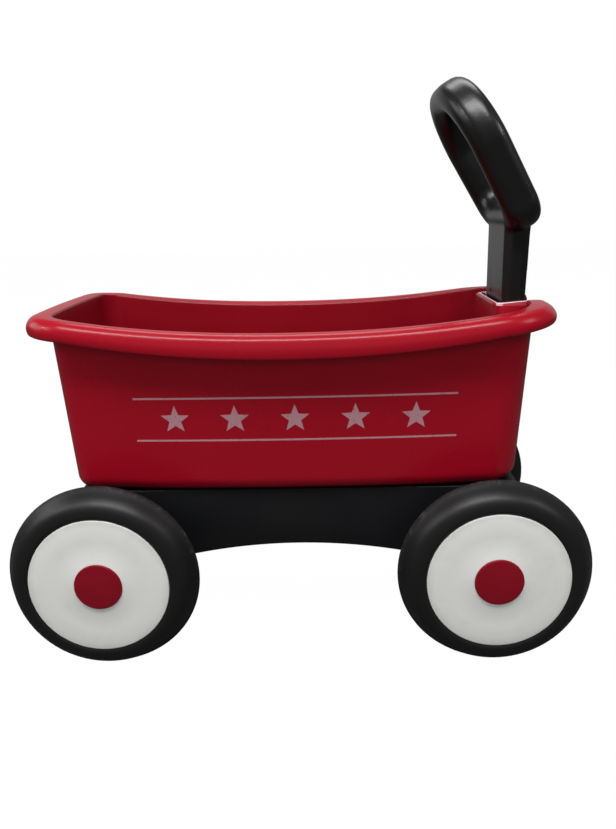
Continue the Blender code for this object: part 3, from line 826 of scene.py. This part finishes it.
# ---- Handle: one blow-moulded black piece. A chamfered post stands in the pocket on its pin, with a
# small vent hole in its back, and above a short neck it becomes a leaning ring with a hand hole. ----
POST_BACK_X = 0.1780
POST_TOP_T = 0.0222
POST_FOOT_T = 0.0167
POST_FOOT_Z = 0.179
POST_STEP_Z = 0.25
POST_CHAMFER = 0.0065
POST_HALF_W = 0.0390
HEEL_HALF_W = 0.0330
HEEL_R = 0.0082
NECK_Z = 0.356
BEND = Vector((0.1892, 0, 0.3655))
GRIP_LEAN = math.radians(29.9)
GRIP_HALF_W = 0.0700
GRIP_TOP = 0.1208
GRIP_ARM = 0.0235
GRIP_HALF_T = 0.0147
GRIP_ROUNDING = 0.0112
GRIP_CORNER_R = 0.058
GRIP_FLARE = 0.022
GRIP_FOOT = -0.0145
GRIP_FOOT_HALF_W = POST_HALF_W - 0.003
GRIP_TAPER = 0.24
HAND_HOLE_FOOT = 0.009
HAND_HOLE_FOOT_HALF_W = 0.026
HAND_HOLE_CORNER_R = 0.038
HAND_HOLE_FLARE = 0.018
VENT_R = 0.0022
VENT_PLACE = Vector((POST_BACK_X, 0.012, 0.2965))


def ring_outline(half_width, bottom, top, corner, foot_half, flare):
    """A foot with round corners, straight arms and a round top, in the grip's own plane."""
    side = []
    for i in range(13):
        turn = math.pi / 2 * i / 12
        spread = math.sin(turn) * (1 - GRIP_TAPER)
        out = foot_half + (half_width - foot_half) * spread
        side.append((out, bottom + flare * (1 - math.cos(turn))))
    side += arc((half_width - corner, top - corner), corner, 0, 90, 20)
    return side + [(-y, s) for y, s in reversed(side)]


def ring_grip():
    """The ring: rounded sections set right round between the outline and the hand hole."""
    outside = ring_outline(
        GRIP_HALF_W, GRIP_FOOT, GRIP_TOP, GRIP_CORNER_R, GRIP_FOOT_HALF_W, GRIP_FLARE
    )
    inside = ring_outline(
        GRIP_HALF_W - GRIP_ARM, HAND_HOLE_FOOT, GRIP_TOP - GRIP_ARM, HAND_HOLE_CORNER_R,
        HAND_HOLE_FOOT_HALF_W, HAND_HOLE_FLARE,
    )
    lean = Matrix.Translation(BEND) @ Matrix.Rotation(-GRIP_LEAN, 4, "Y")
    rings = []
    for (outer_y, outer_s), (inner_y, inner_s) in zip(outside, inside):
        middle = Vector((0, (outer_y + inner_y) / 2, (outer_s + inner_s) / 2))
        reach = Vector((0, (outer_y - inner_y) / 2, (outer_s - inner_s) / 2))
        flat, level = reach.length - GRIP_ROUNDING, GRIP_HALF_T - GRIP_ROUNDING
        corners = ((flat, level), (-flat, level), (-flat, -level), (flat, -level))
        section = []
        for number, corner in enumerate(corners):
            section += arc(corner, GRIP_ROUNDING, 90 * number, 90 * number + 90, 7)
        outward = reach.normalized()
        rings.append([lean @ (middle + outward * u + Vector((v, 0, 0))) for u, v in section])
    return loft("ring_grip", rings + rings[:1], closed=True)


def post():
    """The post, a chamfered bar that is thinner where it stands in the channel."""
    t, w, c = POST_TOP_T, POST_HALF_W, POST_CHAMFER
    bar_plan = [(t, w - c), (t - c, w), (c, w), (0, w - c), (0, c - w), (c, -w), (t - c, -w), (t, c - w)]
    piece = solid("post", [(POST_BACK_X + x, y) for x, y in bar_plan], "Z", POST_FOOT_Z, NECK_Z)
    for point in piece.data.vertices:
        if point.co.z < POST_STEP_Z and point.co.x > POST_BACK_X + t / 2:
            point.co.x -= t - POST_FOOT_T
    heel_top = POST_FOOT_Z + 0.001
    heel = [(POST_BACK_X + POST_FOOT_T - 0.0003, heel_top), (POST_BACK_X, heel_top)]
    heel += arc((PIVOT_X, PIVOT_Z), HEEL_R, 180, 360, 24)
    cut(piece, solid("heel", heel, "Y", -HEEL_HALF_W, HEEL_HALF_W), "UNION")
    return piece


handle = post()
handle.name = "moulded_handle"
cut(handle, ring_grip(), "UNION")
apply_step(handle, "REMESH", mode="VOXEL", voxel_size=0.0010)
apply_step(handle, "SMOOTH", factor=0.5, iterations=14)
cut(handle, bar("bore", PIN_R + 0.0002, -0.05, 0.05, PIVOT_X, PIVOT_Z))
vent = peg(VENT_R, 0, 0, -0.006, 0.006)
vent.data.transform(Matrix.Translation(VENT_PLACE) @ Matrix.Rotation(math.pi / 2, 4, "Y"))
cut(handle, vent)
smooth(handle, 50)

handle_black = Finish("handle_black_plastic", 0.32, specular=0.45)
sheen = handle_black.noise(20.0, 4.0, 0.6)
handle_black.set(
    Base_Color=handle_black.mix(sheen, (0.0045, 0.0045, 0.0050, 1), (0.0085, 0.0084, 0.0082, 1)),
    Roughness=0.24 + sheen * 0.16,
    Normal=handle_black.bump(handle_black.noise(600.0, 3.0, 0.6), 0.00005),
)
dress(handle, handle_black, "handle", "handle")


# ---- Studio: a plain pale floor and soft lamps. To the camera the floor and the air are white,
# while the light that they give back is dim, as in a room with dark walls. ----
bpy.ops.mesh.primitive_plane_add(size=12)
floor = bpy.context.object
floor.name = "studio_floor"
paint = Finish("floor_paint", 0.95, specular=0.0)
seen = paint.node("ShaderNodeLightPath")
paint.set(
    Base_Color=paint.mix(seen, (0.08, 0.08, 0.08, 1), (0.02, 0.02, 0.02, 1)),
    Emission_Color=paint.mix(seen, (0, 0, 0, 1), (0.99, 0.99, 0.99, 1)),
)
paint.shader.inputs["Emission Strength"].default_value = 1.0
floor.data.materials.append(paint.material)

scene = bpy.context.scene
scene.view_settings.view_transform = "Standard"
scene.world = bpy.data.worlds.new("studio_air")
scene.world.use_nodes = True
air = scene.world.node_tree
backdrop = air.nodes["Background"]
backdrop.inputs["Color"].default_value = (1.0, 1.0, 1.0, 1)
dim = air.nodes.new("ShaderNodeBackground")
dim.inputs["Color"].default_value = (0.95, 0.97, 1.0, 1)
dim.inputs["Strength"].default_value = 0.09
either = air.nodes.new("ShaderNodeMixShader")
ray = air.nodes.new("ShaderNodeLightPath")
air.links.new(ray.outputs["Is Camera Ray"], either.inputs[0])
air.links.new(dim.outputs[0], either.inputs[1])
air.links.new(backdrop.outputs[0], either.inputs[2])
air.links.new(either.outputs[0], air.nodes["World Output"].inputs[0])


def lamp(name, place, aim, width, depth, power, mirrored=True):
    """A soft panel that the camera can't see; one that isn't mirrored leaves no highlight either."""
    light = bpy.data.lights.new(name, "AREA")
    light.shape = "RECTANGLE"
    light.size, light.size_y = width, depth
    light.energy = power
    made = bpy.data.objects.new(name, light)
    scene.collection.objects.link(made)
    made.location = place
    made.rotation_euler = (Vector(aim) - Vector(place)).to_track_quat("-Z", "Y").to_euler()
    made.visible_camera = False
    made.visible_glossy = mirrored


lamp("front_ceiling_lamp", (-0.1, -0.90, 1.95), (0, 0, 0.15), 1.5, 0.6, 39)
lamp("back_ceiling_lamp", (0.1, 0.9, 1.8), (0, 0, 0.2), 1.4, 0.6, 12)
lamp("front_fill", (0.0, -2.4, 0.9), (0, 0, 0.2), 2.0, 1.4, 19, False)
lamp("back_panel", (0.0, 2.2, 0.75), (0, 0, 0.40), 5.4, 1.8, 10.5)
lamp("left_panel", (-1.3, 0.1, 0.8), (-0.15, 0, 0.25), 0.9, 0.5, 3.5)
for number in range(4):
    row, column = divmod(number, 2)
    y, z = 0.26 * column - 0.62, 1.18 - 0.22 * row
    lamp(f"right_spot_{number}", (1.20, y, z), (0.18, 0, 0.27), 0.07, 0.05, 0.8)
    lamp(f"left_spot_{number}", (-1.15, y, z), (-0.18, 0, 0.27), 0.06, 0.05, 0.9)
